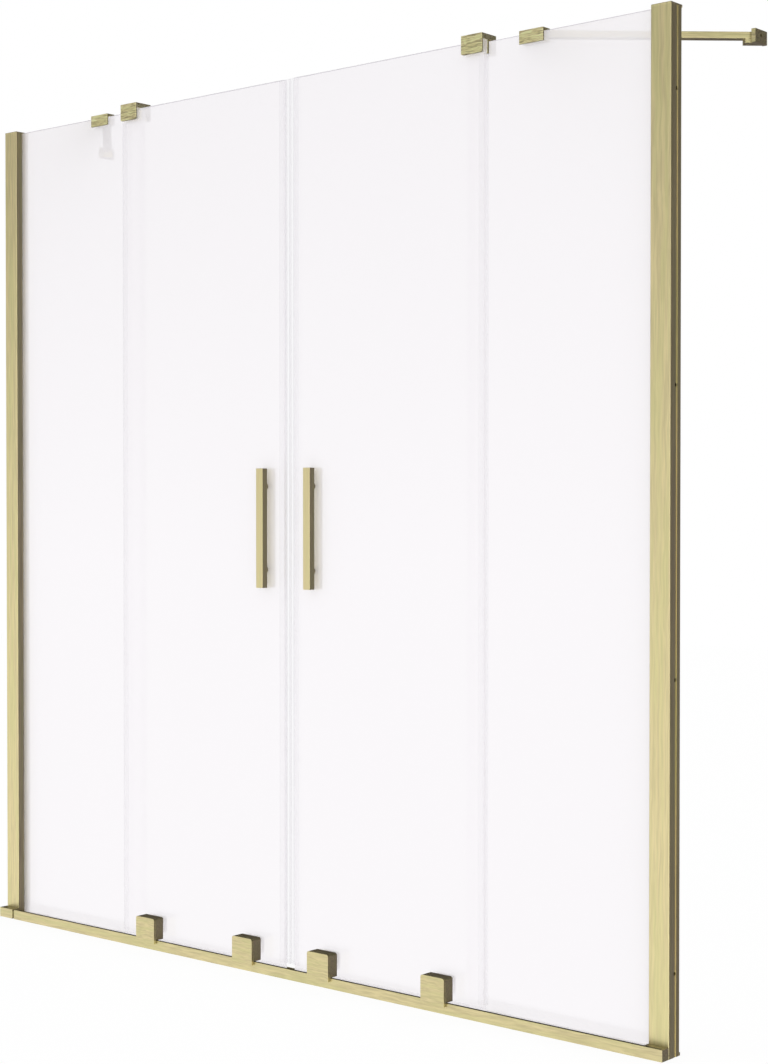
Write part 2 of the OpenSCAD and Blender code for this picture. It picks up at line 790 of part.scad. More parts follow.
module support_bar(s) {
    clip_x = clip_places[bar_of(s)];
    bar_len = bar_lens[bar_of(s)];
    color(gold) half(s) difference() {
        on_bar(s) difference() {
            translate([-bar_w, -bar_w / 2, -bar_h / 2]) cube([bar_len + 2 * bar_w, bar_w, bar_h]);
            translate([-bar_w - over, bar_t - bar_w / 2, bar_t - bar_h / 2])
                cube([bar_len + 2 * bar_w + 2 * over, bar_w - 2 * bar_t, bar_h - 2 * bar_t]);
            for (x = [tenon_set_x, bar_len - shelf_set_x])
                translate([x, 0, -bar_h]) cylinder(r = set_r + set_gap, h = bar_h);
        }
        block([clip_x - 3 * bar_w, clip_back - 3 * bar_w, bar_z - bar_h], [clip_x + 3 * bar_w, clip_back, bar_z + bar_h]);
        block([bar_end_x, flange_y - 3 * bar_w, bar_z - bar_h],
              [bar_end_x + 3 * bar_w, flange_y + 3 * bar_w, bar_z + bar_h]);
    }
}

module wall_flange(s) {
    bar_len = bar_lens[bar_of(s)];
    color(gold) half(s) difference() {
        union() {
            block([bar_end_x, flange_y - flange_w / 2, flange_foot], [half_w, flange_y + flange_w / 2, flange_top]);
            difference() {
                on_bar(s) translate([bar_len - shelf_len, -shelf_w / 2, flange_foot - bar_z])
                    cube([2 * shelf_len, shelf_w, bar_top - bar_h - flange_foot]);
                block([half_w - flange_plate_t / 2, flange_y - flange_w, flange_foot - over],
                      [half_w + 2 * shelf_len, flange_y + 2 * flange_w, flange_top]);
            }
        }
        translate([bar_end_x - over, flange_y, bar_z]) rotate([0, 90, 0])
            cylinder(r = flange_hole_r, h = flange_plate_t + 2 * over);
        on_bar(s) translate([bar_len - shelf_set_x, 0, -bar_h - flange_plate_h])
            cylinder(r = set_r + set_gap, h = bar_h + flange_plate_h);
    }
}

module set_screw(len) {
    difference() {
        cylinder(r = set_r, h = len);
        translate([0, 0, -over]) cylinder(r = socket_af / sqrt(3) / 1.2, h = socket_depth + over, $fn = 6);
    }
}

module set_screws() {
    color(steel) for (s = [left, right]) half(s) {
        clip_x = clip_places[bar_of(s)];
        bar_len = bar_lens[bar_of(s)];
        for (k = [-1, 1])
            translate([guide_x + k * guide_set_x, back_leg_front + guide_set_len, guide_foot + set_rise])
                rotate([90, 0, 0]) set_screw(guide_set_len);
        for (k = [-1, 1])
            translate([clip_x + k * clip_set_x, back_leg_front + clip_set_len, clip_foot + set_rise])
                rotate([90, 0, 0]) set_screw(clip_set_len);
        on_bar(s) {
            translate([tenon_set_x, 0, -bar_h / 2]) set_screw(bar_set_len);
            translate([bar_len - shelf_set_x, 0, bar_t - bar_h / 2 - bar_set_len]) set_screw(bar_set_len);
        }
    }
}

// Doors

module door_glass(s) {
    color(clear_glass) half(s) difference() {
        block([door_lead, door_front, door_foot], [door_trail, door_back, glass_top]);
        for (x = [inner_x, outer_x], k = [-1, 1])
            rod_y(glass_hole_r, x + k * clamp_screw_x, clamp_screw_z, door_front - over, door_back + over);
        for (z = handle_places)
            rod_y(glass_hole_r, handle_x, z, door_front - over, door_back + over);
    }
}

module magnetic_seal(s) {
    housing_mid = (door_front + door_back) / 2;
    web_end = door_lead - seal_web;
    color(clear_plastic) half(s) translate([0, 0, seal_foot]) linear_extrude(glass_top - seal_foot) {
        clip_section(door_lead, 1, door_front, door_back, seal_leg);
        difference() {
            panel([magnet_gap, housing_mid - magnet_d / 2], [web_end, housing_mid + magnet_d / 2]);
            panel([web_end - chamber_w, housing_mid - magnet_d / 3], [web_end - 0.6, housing_mid + magnet_d / 3]);
        }
    }
}

module trailing_seal(s) {
    bumper_mid = (door_front + door_back) / 2;
    color(clear_plastic) half(s) translate([0, 0, seal_foot]) linear_extrude(seal_top - seal_foot) {
        clip_section(door_trail, -1, door_front, door_back, seal_leg);
        panel([door_trail, bumper_mid - bumper_t / 2], [door_trail + seal_web + bumper_reach - bumper_t / 2, bumper_mid + bumper_t / 2]);
        translate([door_trail + seal_web + bumper_reach - bumper_t / 2, bumper_mid]) circle(r = bumper_t / 2);
        panel([door_trail - seal_leg, door_back], [door_trail - seal_leg + fin_t, fixed_front - fin_gap]);
    }
}

module drip_seal(s) {
    fin_mid = (door_front + door_back) / 2;
    web_foot = door_foot - seal_web;
    color(clear_plastic) half(s)
        along_x(door_lead + fin_gap, door_trail - fin_gap) {
            for (y = [door_front - seal_t, door_back])
                panel([y, door_foot], [y + seal_t, door_foot + drip_leg]);
            panel([door_front - seal_t, web_foot], [door_back + seal_t, door_foot]);
            panel([fin_mid - fin_t / 2, base_t + drip_gap], [fin_mid + fin_t / 2, door_foot]);
        }
}

module handle_bar(w, y_from, y_to) {
    translate([handle_x, (y_from + y_to) / 2, handle_z - handle_len / 2])
        linear_extrude(handle_len) round_rect(w, y_to - y_from, handle_round);
}

module outer_handle(s) {
    color(gold) half(s) difference() {
        union() {
            handle_bar(handle_w, outer_handle_back - handle_d, outer_handle_back);
            for (z = handle_places)
                rod_y(stand_r, handle_x, z, outer_handle_back - over, door_front - washer_t);
        }
        for (z = handle_places)
            rod_y(bolt_r + bolt_gap, handle_x, z, outer_handle_back - handle_grip - over, door_front);
    }
}

module inner_handle(s) {
    color(gold) half(s) difference() {
        union() {
            handle_bar(inner_handle_w, inner_handle_front, inner_handle_back);
            for (z = handle_places)
                rod_y(stand_r, handle_x, z, door_back + washer_t, inner_handle_front + over);
        }
        for (z = handle_places) {
            rod_y(bolt_r + bolt_gap, handle_x, z, door_back, inner_handle_back);
            rod_y(bolt_head_r + bolt_head_gap, handle_x, z, bolt_head_front, inner_handle_back + over);
        }
    }
}

// Carriages

module carriage_cover(x) {
    upright(x, carriage_foot, plate_front, plate_back)
        arch_rect(carriage_w, carriage_top - carriage_foot, carriage_round);
    for (k = [-1, 1])
        rod_y(peg_r, x + k * peg_x, peg_z, plate_back - over, plate_back + peg_len);
}

module carriage_covers(s) {
    color(gold) half(s) for (x = [inner_x, outer_x]) carriage_cover(x);
}

module carriage_body(s, x) {
    seam_back = plate_back + seam_w;
    color(dark_gold) half(s) difference() {
        union() {
            upright(x, carriage_foot + seam_depth, plate_back, seam_back + over)
                arch_rect(carriage_w - 2 * seam_depth, carriage_top - carriage_foot - 2 * seam_depth, carriage_round);
            upright(x, carriage_foot, seam_back, carriage_back)
                arch_rect(carriage_w, carriage_top - carriage_foot, carriage_round);
        }
        // Room for the rail and for the door's bottom edge
        block([x - carriage_w, track_front - hook_gap, 0], [x + carriage_w, carriage_back + over, body_foot]);
        // Pocket of the roller, open to the front and below
        rod_y(pocket_r, x, roller_z, plate_back - over, pocket_end);
        block([x - pocket_r, plate_back - over, 0], [x + pocket_r, pocket_end, roller_z]);
        rod_y(axle_r + set_gap, x, roller_z, pocket_end - over, pocket_end + axle_grip);
        for (k = [-1, 1]) {
            rod_y(peg_r + peg_gap, x + k * peg_x, peg_z, plate_back - over, plate_back + peg_len + peg_gap);
            rod_y(bolt_r + bolt_gap, x + k * clamp_screw_x, clamp_screw_z,
                  carriage_back - clamp_screw_grip - bolt_gap, carriage_back + over);
        }
    }
}

module clamp_outline() {
    translate([0, clamp_top - clamp_h / 2]) round_rect(clamp_w, clamp_h, clamp_round);
}

// A countersunk hole or head that tapers in from the back of the clamp plate
module sunk_cone(x, gap) {
    translate([x, clamp_back - sunk_h, clamp_screw_z]) rotate([-90, 0, 0])
        cylinder(r1 = bolt_r + gap, r2 = sunk_r + gap, h = sunk_h);
}

module carriage_clamps(s) {
    color(gold) half(s) for (x = [inner_x, outer_x])
        difference() {
            upright(x, 0, clamp_front, clamp_back) clamp_outline();
            for (k = [-1, 1]) {
                rod_y(bolt_r + bolt_head_gap, x + k * clamp_screw_x, clamp_screw_z, clamp_front - over, clamp_back + over);
                sunk_cone(x + k * clamp_screw_x, bolt_head_gap);
            }
        }
}

module door_pads(s) {
    color(clear_plastic) half(s) {
        for (x = [inner_x, outer_x])
            difference() {
                union() {
                    upright(x, 0, carriage_back, door_front) clamp_outline();
                    upright(x, 0, door_back, clamp_front) clamp_outline();
                }
                for (k = [-1, 1])
                    rod_y(bolt_r + bolt_head_gap, x + k * clamp_screw_x, clamp_screw_z, carriage_back - over, clamp_front + over);
            }
        for (z = handle_places, y = [door_front - washer_t, door_back])
            difference() {
                rod_y(stand_r, handle_x, z, y, y + washer_t);
                rod_y(bolt_r + bolt_head_gap, handle_x, z, y - over, y + washer_t + over);
            }
    }
}

module door_bolts(s) {
    color(steel) half(s) {
        for (x = [inner_x, outer_x], k = [-1, 1])
            difference() {
                union() {
                    rod_y(bolt_r, x + k * clamp_screw_x, clamp_screw_z, carriage_back - clamp_screw_grip, clamp_back - sunk_h / 2);
                    sunk_cone(x + k * clamp_screw_x, 0);
                }
                hex_socket(x + k * clamp_screw_x, clamp_screw_z, clamp_back);
            }
        for (z = handle_places)
            difference() {
                union() {
                    rod_y(bolt_r, handle_x, z, outer_handle_back - handle_grip, bolt_head_back);
                    rod_y(bolt_head_r, handle_x, z, bolt_head_front, bolt_head_back);
                }
                hex_socket(handle_x, z, bolt_head_back);
            }
    }
}

module roller_axles(s) {
    color(steel) half(s) for (x = [inner_x, outer_x]) {
        rod_y(axle_r, x, roller_z, axle_front + axle_head_t / 2, pocket_end + axle_grip - bolt_gap);
        rod_y(axle_head_r, x, roller_z, axle_front, axle_front + axle_head_t);
        rod_y(axle_head_r, x, roller_z, pocket_end - axle_head_t, pocket_end);
    }
}

// Rollers turn about Y, so each is a turned section laid on its side
module turned(x) {
    translate([x, rail_mid, roller_z]) rotate([-90, 0, 0]) rotate_extrude() children();
}

module roller(s, x) {
    bore = bearing_r + bearing_gap;
    groove_half = rail_w / 2 + flange_gap;
    color(nylon) half(s) turned(x) difference() {
        panel([bearing_r - bearing_lip, -roller_half], [flange_r, roller_half]);
        panel([tread_r, -groove_half], [flange_r + over, groove_half]);
        panel([0, -roller_half - over], [bore, bearing_w / 2]);
    }
}

module bearing(s, x) {
    color(steel) half(s) turned(x)
        panel([axle_r + axle_gap, -bearing_w / 2], [bearing_r, bearing_w / 2]);
}

bottom_track();
left_track_end_piece();
right_track_end_cap();
wall_channel(left);  // left_wall_channel
wall_channel(right);  // right_wall_channel
cover_profile(left);  // left_cover_profile
cover_profile(right);  // right_cover_profile
top_cap(left);  // left_top_cap
top_cap(right);  // right_top_cap
fixed_glass(left);  // left_fixed_glass
fixed_glass(right);  // right_fixed_glass
glazing_gaskets();
setting_blocks();
profile_lock_screws();
fixed_edge_seals();
guide_block(left);  // left_guide_block
guide_block(right);  // right_guide_block
guide_glides();
bar_clip(left);  // left_bar_clip
bar_clip(right);  // right_bar_clip
clamp_pads();
set_screws();
support_bar(left);  // left_support_bar
support_bar(right);  // right_support_bar
wall_flange(left);  // left_wall_flange
wall_flange(right);  // right_wall_flange
door_glass(left);  // left_door_glass
door_glass(right);  // right_door_glass
magnetic_seal(left);  // left_magnetic_seal
magnetic_seal(right);  // right_magnetic_seal
trailing_seal(left);  // left_trailing_seal
trailing_seal(right);  // right_trailing_seal
drip_seal(left);  // left_drip_seal
drip_seal(right);  // right_drip_seal
outer_handle(left);  // left_outer_handle
outer_handle(right);  // right_outer_handle
inner_handle(left);  // left_inner_handle
inner_handle(right);  // right_inner_handle
door_bolts(left);  // left_door_bolts
door_bolts(right);  // right_door_bolts
carriage_covers(left);  // left_carriage_covers
carriage_covers(right);  // right_carriage_covers
carriage_body(left, outer_x);  // left_carriage_body_outer
carriage_body(left, inner_x);  // left_carriage_body_inner
carriage_body(right, inner_x);  // right_carriage_body_inner
carriage_body(right, outer_x);  // right_carriage_body_outer
carriage_clamps(left);  // left_carriage_clamps
carriage_clamps(right);  // right_carriage_clamps
door_pads(left);  // left_door_pads
door_pads(right);  // right_door_pads
roller_axles(left);  // left_roller_axles
roller_axles(right);  // right_roller_axles
roller(left, outer_x);  // left_outer_roller
roller(left, inner_x);  // left_inner_roller
roller(right, inner_x);  // right_inner_roller
roller(right, outer_x);  // right_outer_roller
bearing(left, outer_x);  // left_outer_bearing
bearing(left, inner_x);  // left_inner_bearing
bearing(right, inner_x);  // right_inner_bearing
bearing(right, outer_x);  // right_outer_bearing
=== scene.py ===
# Sliding bath screen: milky tempered glass with fittings in light brushed gold.
# Metres, X along the screen, Y into the bath, Z up. The origin is at the underside of the
# track, midway between the walls and midway through the depth of the wall profiles.
import json
import math
import bpy
import bmesh
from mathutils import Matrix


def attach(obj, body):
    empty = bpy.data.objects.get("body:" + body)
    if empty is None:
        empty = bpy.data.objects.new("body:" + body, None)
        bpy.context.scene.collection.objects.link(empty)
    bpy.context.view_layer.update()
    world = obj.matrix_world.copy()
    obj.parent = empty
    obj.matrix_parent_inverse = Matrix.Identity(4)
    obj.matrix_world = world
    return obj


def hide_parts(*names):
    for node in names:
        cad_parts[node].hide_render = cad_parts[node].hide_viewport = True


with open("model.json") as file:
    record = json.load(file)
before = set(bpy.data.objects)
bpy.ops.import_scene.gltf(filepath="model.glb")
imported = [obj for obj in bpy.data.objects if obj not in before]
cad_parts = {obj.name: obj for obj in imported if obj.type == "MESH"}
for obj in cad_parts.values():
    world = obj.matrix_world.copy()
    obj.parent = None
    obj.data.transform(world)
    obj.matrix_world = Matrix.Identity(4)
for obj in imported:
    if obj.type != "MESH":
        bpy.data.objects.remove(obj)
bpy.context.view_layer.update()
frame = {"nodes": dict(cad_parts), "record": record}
scene = bpy.context.scene
cadNodes = frame["nodes"]
bodies = frame["record"]["behaviour"]["bodies"]
bodyOf = {node: body for body, nodes in bodies.items() for node in nodes}
slotOf = {part["node"]: part["material_slot"] for part in frame["record"]["subparts"]}
print("packed model loaded,", len(cadNodes), "nodes")


# Camera, at the photo's viewing angle

cameraView = {
    "place": (2.2107, -2.3425, 0.7897),
    "turn": (89.097, 0.0, 40.65),        # degrees
    "sensor": 36.0,                      # millimetres, as the lens
    "lens": 65.05,
    "shiftUp": 0.0027,
    "reach": 60.0,
}

def makeCamera():
    data = bpy.data.cameras.new("photoCamera")
    data.sensor_width = cameraView["sensor"]
    data.lens = cameraView["lens"]
    data.shift_y = cameraView["shiftUp"]
    data.clip_end = cameraView["reach"]
    camera = bpy.data.objects.new("photoCamera", data)
    scene.collection.objects.link(camera)
    camera.location = cameraView["place"]
    camera.rotation_euler = [math.radians(angle) for angle in cameraView["turn"]]
    scene.camera = camera

makeCamera()
print("camera placed")


# Shader helpers

plainWhite = (1.0, 1.0, 1.0, 1.0)

def linearColour(hexValue):
    channels = [int(hexValue[i:i + 2], 16) / 255 for i in (1, 3, 5)]
    return [c / 12.92 if c <= 0.04045 else ((c + 0.055) / 1.055) ** 2.4 for c in channels] + [1.0]

# The same colour, lighter or darker
def shade(hexValue, factor):
    return [min(1.0, c * factor) for c in linearColour(hexValue)[:3]] + [1.0]

def addNode(tree, kind, values=None, links=None, **settings):
    node = tree.nodes.new(kind)
    for name, value in settings.items():
        setattr(node, name, value)
    for name, value in (values or {}).items():
        node.inputs[name].default_value = value
    for name, source in (links or {}).items():
        tree.links.new(source, node.inputs[name])
    return node

def newMaterial(name):
    material = bpy.data.materials.new(name)
    material.use_nodes = True
    tree = material.node_tree
    tree.nodes.clear()
    return material, tree

def finishMaterial(tree, shader):
    output = addNode(tree, "ShaderNodeOutputMaterial")
    tree.links.new(shader, output.inputs["Surface"])


# Anodised aluminium, brushed and dyed a light gold: long fine lines along the brushing,
# a soft broken sheen and a colour that shifts a little from line to line.
goldFinish = {
    "colour": "#DDCF9E",
    "green": "#D6D494",                  # greener dye, in soft patches
    "greenShare": 0.4,
    "metallic": 0.72,                    # the dyed layer hides part of the metal
    "roughness": 0.34, "smoother": 0.04, "rougher": 0.06,
    "lineDepth": 0.00003, "lineRelief": 0.5,
    "darkest": 0.34, "lightest": 0.66,   # part of the line pattern that the colours span
    "patches": 0.35,                     # how often they come, against the lines
    "patchStart": 0.40, "patchFull": 0.65,
    "sheenStart": 0.30,                  # part of the line pattern that the roughness spans
    "sheenFull": 0.70,
    "sway": 1.4,                         # bends of a line over its own length
    "swayGain": 4.0,                     # how far the noise moves a line, in wave heights
}

# Real brushing lines are about 0.1 mm apart, so these are drawn coarser to show.
# The width and length of a line and the height of its wave are in metres.
# Dark and light are how far its colour strays, as a factor.
brushings = {
    "profile": {"along": "Z", "width": 0.0034, "length": 0.090, "wave": 0.0016,
                "dark": 0.88, "light": 1.11},
    "handle": {"along": "Z", "width": 0.0018, "length": 0.050, "wave": 0.0006,
               "dark": 0.94, "light": 1.05},
    "track": {"along": "X", "width": 0.0032, "length": 0.050, "wave": 0.0016,
              "dark": 0.76, "light": 1.02},
    "bar": {"along": "X", "width": 0.0026, "length": 0.050, "wave": 0.0006,
            "dark": 0.60, "light": 1.14},
    "channel": {"along": "Z", "width": 0.0030, "length": 0.100, "wave": 0.0005,
                "dark": 0.86, "light": 0.98},
    # Painted highlight: the drill groove is coloured lighter than the channel round it
    "groove": {"along": "Z", "width": 0.0030, "length": 0.100, "wave": 0.0005,
               "dark": 1.00, "light": 1.08},
    # Painted shade: the rail's top and the plug in the open joint are coloured dark
    "paintedShade": {"along": "X", "width": 0.0030, "length": 0.100, "wave": 0.0005,
               "dark": 0.28, "light": 0.36},
    "carriage": {"along": "X", "width": 0.0024, "length": 0.030, "wave": 0.0014,
                 "dark": 0.76, "light": 1.00},
    # The fittings are coloured lighter than the other pieces, as painted light that makes up for the
    # mirrored light falling off high up
    "fitting": {"along": "X", "width": 0.0021, "length": 0.022, "wave": 0.0010,
                "dark": 0.56, "light": 1.70},
}

# Degrees from the screen to each support bar, which its brushing follows
barTurns = {"left": 41.5, "right": -42.1}

def brushedGold(name, brushing, turn=0.0):
    material, tree = newMaterial("brushed gold aluminium, " + name)
    middle = (brushing["dark"] + brushing["light"]) / 2
    place = addNode(tree, "ShaderNodeTexCoord")
    spun = addNode(tree, "ShaderNodeMapping", {"Rotation": (0.0, 0.0, turn)},
                   {"Vector": place.outputs["Object"]})
    sway = addNode(tree, "ShaderNodeTexNoise",
                   {"Scale": goldFinish["sway"] / brushing["length"], "Detail": 1.0},
                   {"Vector": spun.outputs["Vector"]})
    shift = addNode(tree, "ShaderNodeVectorMath", {1: [goldFinish["swayGain"] * brushing["wave"]] * 3},
                    {0: sway.outputs["Color"]}, operation="MULTIPLY")
    bent = addNode(tree, "ShaderNodeVectorMath",
                   links={0: spun.outputs["Vector"], 1: shift.outputs["Vector"]},
                   operation="ADD")
    pitch = [brushing["length"] if axis == brushing["along"] else brushing["width"]
             for axis in "XYZ"]
    stretch = addNode(tree, "ShaderNodeMapping", {"Scale": [1.0 / p for p in pitch]},
                      {"Vector": bent.outputs["Vector"]})
    lines = addNode(tree, "ShaderNodeTexNoise",
                    {"Scale": 1.0, "Detail": 2.0, "Roughness": 0.55},
                    {"Vector": stretch.outputs["Vector"]})
    ramp = addNode(tree, "ShaderNodeValToRGB", links={"Fac": lines.outputs["Fac"]})
    stops = ramp.color_ramp.elements
    stops[0].position = goldFinish["darkest"]
    stops[0].color = shade(goldFinish["colour"], brushing["dark"])
    stops[1].position = goldFinish["lightest"]
    stops[1].color = shade(goldFinish["colour"], brushing["light"])
    stops.new(0.5).color = shade(goldFinish["colour"], middle)
    patches = addNode(tree, "ShaderNodeTexNoise",
                      {"Scale": goldFinish["patches"], "Detail": 1.0},
                      {"Vector": stretch.outputs["Vector"]})
    greener = addNode(tree, "ShaderNodeMapRange",
                      {"From Min": goldFinish["patchStart"], "From Max": goldFinish["patchFull"],
                       "To Max": goldFinish["greenShare"]},
                      {"Value": patches.outputs["Fac"]})
    tone = addNode(tree, "ShaderNodeMix", {"B": shade(goldFinish["green"], middle)},
                   {"Factor": greener.outputs["Result"], "A": ramp.outputs["Color"]},
                   data_type="RGBA")
    rough = addNode(tree, "ShaderNodeMapRange",
                    {"From Min": goldFinish["sheenStart"], "From Max": goldFinish["sheenFull"],
                     "To Min": goldFinish["roughness"] - goldFinish["smoother"],
                     "To Max": goldFinish["roughness"] + goldFinish["rougher"]},
                    {"Value": lines.outputs["Fac"]})
    bump = addNode(tree, "ShaderNodeBump",
                   {"Strength": goldFinish["lineRelief"], "Distance": goldFinish["lineDepth"]},
                   {"Height": lines.outputs["Fac"]})
    shader = addNode(tree, "ShaderNodeBsdfPrincipled", {"Metallic": goldFinish["metallic"]},
                     {"Base Color": tone.outputs["Result"], "Roughness": rough.outputs["Result"],
                      "Normal": bump.outputs["Normal"]})
    finishMaterial(tree, shader.outputs["BSDF"])
    return material


# Tempered float glass with a milky easy-clean film on both faces: light from behind spreads
# in it, so what stands behind the glass looks pale, and the faces mirror like any glass.
glassFinish = {
    "film": "#F9F6F9",
    "cover": 0.60,                       # share of each face that the film hides
    "edge": "#9C98A4",
    "edgeCover": 0.85,
    "roughness": 0.05,
    "waviness": 0.35,                    # roller wave of tempered glass, metres between crests
    "waveHeight": 0.002, "waveRelief": 0.15,
    "mirrorLeast": 0.04,                 # how much the faces mirror straight on,
    "mirrorGain": 0.6,                   # how much more edge-on,
    "mirrorPower": 5.0,                  # and how late that sets in
}

def glassMirror(tree):
    facing = addNode(tree, "ShaderNodeLayerWeight", {"Blend": 0.5})
    power = addNode(tree, "ShaderNodeMath", {1: glassFinish["mirrorPower"]},
                    {0: facing.outputs["Facing"]}, operation="POWER")
    share = addNode(tree, "ShaderNodeMath",
                    {1: glassFinish["mirrorGain"], 2: glassFinish["mirrorLeast"]},
                    {0: power.outputs["Value"]}, operation="MULTIPLY_ADD")
    return share.outputs["Value"]

def filmedGlass(name, colour, cover):
    material, tree = newMaterial(name)
    place = addNode(tree, "ShaderNodeTexCoord")
    wave = addNode(tree, "ShaderNodeTexNoise",
                   {"Scale": 1.0 / glassFinish["waviness"], "Detail": 1.0},
                   {"Vector": place.outputs["Object"]})
    bump = addNode(tree, "ShaderNodeBump",
                   {"Strength": glassFinish["waveRelief"], "Distance": glassFinish["waveHeight"]},
                   {"Height": wave.outputs["Fac"]})
    film = addNode(tree, "ShaderNodeBsdfTranslucent", {"Color": linearColour(colour)})
    clear = addNode(tree, "ShaderNodeBsdfTransparent", {"Color": plainWhite})
    body = addNode(tree, "ShaderNodeMixShader", {0: cover},
                   {1: clear.outputs["BSDF"], 2: film.outputs["BSDF"]})
    shine = addNode(tree, "ShaderNodeBsdfGlossy",
                    {"Color": plainWhite, "Roughness": glassFinish["roughness"]},
                    {"Normal": bump.outputs["Normal"]})
    mix = addNode(tree, "ShaderNodeMixShader",
                  links={0: glassMirror(tree), 1: body.outputs["Shader"], 2: shine.outputs["BSDF"]})
    finishMaterial(tree, mix.outputs["Shader"])
    return material


# Clear soft PVC, extruded: milky where it is thick, faintly lined along its length.
sealFinish = {
    "colour": "#E4E1E7",
    "cover": 0.12,                       # share of each wall that looks milky
    "magnetCover": 0.15,                 # and round the magnets
    "thinner": 0.6, "thicker": 1.4,      # how that share varies from line to line
    "shine": 0.02,
    "roughness": 0.3,
    "lines": 0.0009,                     # metres from line to line, coarse enough to show
    "run": 0.002,                        # how little a line changes along the seal
}

def clearVinyl(name, cover):
    material, tree = newMaterial(name)
    place = addNode(tree, "ShaderNodeTexCoord")
    stretch = addNode(tree, "ShaderNodeMapping", {"Scale": (1.0, 1.0, sealFinish["run"])},
                      {"Vector": place.outputs["Object"]})
    lines = addNode(tree, "ShaderNodeTexNoise",
                    {"Scale": 1.0 / sealFinish["lines"], "Detail": 1.0},
                    {"Vector": stretch.outputs["Vector"]})
    share = addNode(tree, "ShaderNodeMapRange",
                    {"To Min": sealFinish["thinner"] * cover, "To Max": sealFinish["thicker"] * cover},
                    {"Value": lines.outputs["Fac"]})
    milk = addNode(tree, "ShaderNodeBsdfTranslucent", {"Color": linearColour(sealFinish["colour"])})
    clear = addNode(tree, "ShaderNodeBsdfTransparent", {"Color": plainWhite})
    body = addNode(tree, "ShaderNodeMixShader",
                   links={0: share.outputs["Result"], 1: clear.outputs["BSDF"],
                          2: milk.outputs["BSDF"]})
    shine = addNode(tree, "ShaderNodeBsdfGlossy",
                    {"Color": plainWhite, "Roughness": sealFinish["roughness"]})
    mix = addNode(tree, "ShaderNodeMixShader", {0: sealFinish["shine"]},
                  {1: body.outputs["Shader"], 2: shine.outputs["BSDF"]})
    finishMaterial(tree, mix.outputs["Shader"])
    return material


# Moulded nylon, natural: off-white, lets some light through, a fine mould grain.
nylonFinish = {
    "colour": "#F4F2EE",
    "roughness": 0.45,
    "through": 0.55,                     # share that lets light through
    "grain": 0.0007,                     # metres from grain to grain, coarse enough to show
    "grainHeight": 0.00005, "grainRelief": 0.3,
}

def mouldedNylon(name):
    material, tree = newMaterial(name)
    colour = linearColour(nylonFinish["colour"])
    place = addNode(tree, "ShaderNodeTexCoord")
    grain = addNode(tree, "ShaderNodeTexNoise",
                    {"Scale": 1.0 / nylonFinish["grain"], "Detail": 2.0},
                    {"Vector": place.outputs["Object"]})
    bump = addNode(tree, "ShaderNodeBump",
                   {"Strength": nylonFinish["grainRelief"], "Distance": nylonFinish["grainHeight"]},
                   {"Height": grain.outputs["Fac"]})
    shader = addNode(tree, "ShaderNodeBsdfPrincipled",
                     {"Base Color": colour, "Roughness": nylonFinish["roughness"]},
                     {"Normal": bump.outputs["Normal"]})
    inner = addNode(tree, "ShaderNodeBsdfTranslucent", {"Color": colour})
    mix = addNode(tree, "ShaderNodeMixShader", {0: nylonFinish["through"]},
                  {1: shader.outputs["BSDF"], 2: inner.outputs["BSDF"]})
    finishMaterial(tree, mix.outputs["Shader"])
    return material


# Stainless steel, turned or cold-headed: grey, fairly bright, fine marks in its sheen.
steelFinish = {
    "colour": "#C3C4C6",
    "roughness": 0.28, "smoother": 0.06, "rougher": 0.08,
    "marks": 0.0004,                     # metres from mark to mark, coarse enough to show
}

def turnedSteel(name):
    material, tree = newMaterial(name)
    place = addNode(tree, "ShaderNodeTexCoord")
    marks = addNode(tree, "ShaderNodeTexNoise",
                    {"Scale": 1.0 / steelFinish["marks"], "Detail": 2.0},
                    {"Vector": place.outputs["Object"]})
    rough = addNode(tree, "ShaderNodeMapRange",
                    {"To Min": steelFinish["roughness"] - steelFinish["smoother"],
                     "To Max": steelFinish["roughness"] + steelFinish["rougher"]},
                    {"Value": marks.outputs["Fac"]})
    shader = addNode(tree, "ShaderNodeBsdfPrincipled",
                     {"Base Color": linearColour(steelFinish["colour"]), "Metallic": 1.0},
                     {"Roughness": rough.outputs["Result"]})
    finishMaterial(tree, shader.outputs["BSDF"])
    return material


gold = {name: brushedGold(name, brushing) for name, brushing in brushings.items()}
for side, turn in barTurns.items():
    gold[side + "_support_bar"] = brushedGold(side + " bar", brushings["bar"], math.radians(turn))
glassPane = filmedGlass("tempered glass, face", glassFinish["film"], glassFinish["cover"])
glassEdge = filmedGlass("tempered glass, ground edge", glassFinish["edge"], glassFinish["edgeCover"])
vinyl = clearVinyl("clear soft PVC", sealFinish["cover"])
magnetVinyl = clearVinyl("clear soft PVC around the magnets", sealFinish["magnetCover"])
nylon = mouldedNylon("moulded nylon")
steel = turnedSteel("stainless steel")
print("materials made")


# Pieces whose edges are broken as on the real ones stand for their CAD nodes

easing = {
    "weld": 0.000005,                    # points this close are one
    "flat": 1.0,                         # degrees, up to which faces become one
    "sharp": 30.0,                       # degrees, from which an edge is eased
    "smooth": 32.0,                      # degrees, up to which an edge looks round
    "cornerSegments": 3,
    "near": 0.0001,                      # how close to a place an edge is looked for
}

def deselectAll():
    if bpy.context.mode != "OBJECT":
        bpy.ops.object.mode_set(mode="OBJECT")
    bpy.ops.object.select_all(action="DESELECT")

# The upright edges of a piece's front face, in edit mode
def roundCorners(mesh, radius):
    bpy.ops.mesh.select_all(action="DESELECT")
    shape = bmesh.from_edit_mesh(mesh)
    front = min(point.co.y for point in shape.verts)
    for edge in shape.edges:
        ends = [point.co for point in edge.verts]
        inFront = all(abs(end.y - front) < easing["near"] for end in ends)
        if inFront and abs(ends[0].x - ends[1].x) < easing["near"]:
            edge.select_set(True)
    bmesh.update_edit_mesh(mesh)
    bpy.ops.mesh.bevel(offset=radius, segments=easing["cornerSegments"], affect="EDGES")

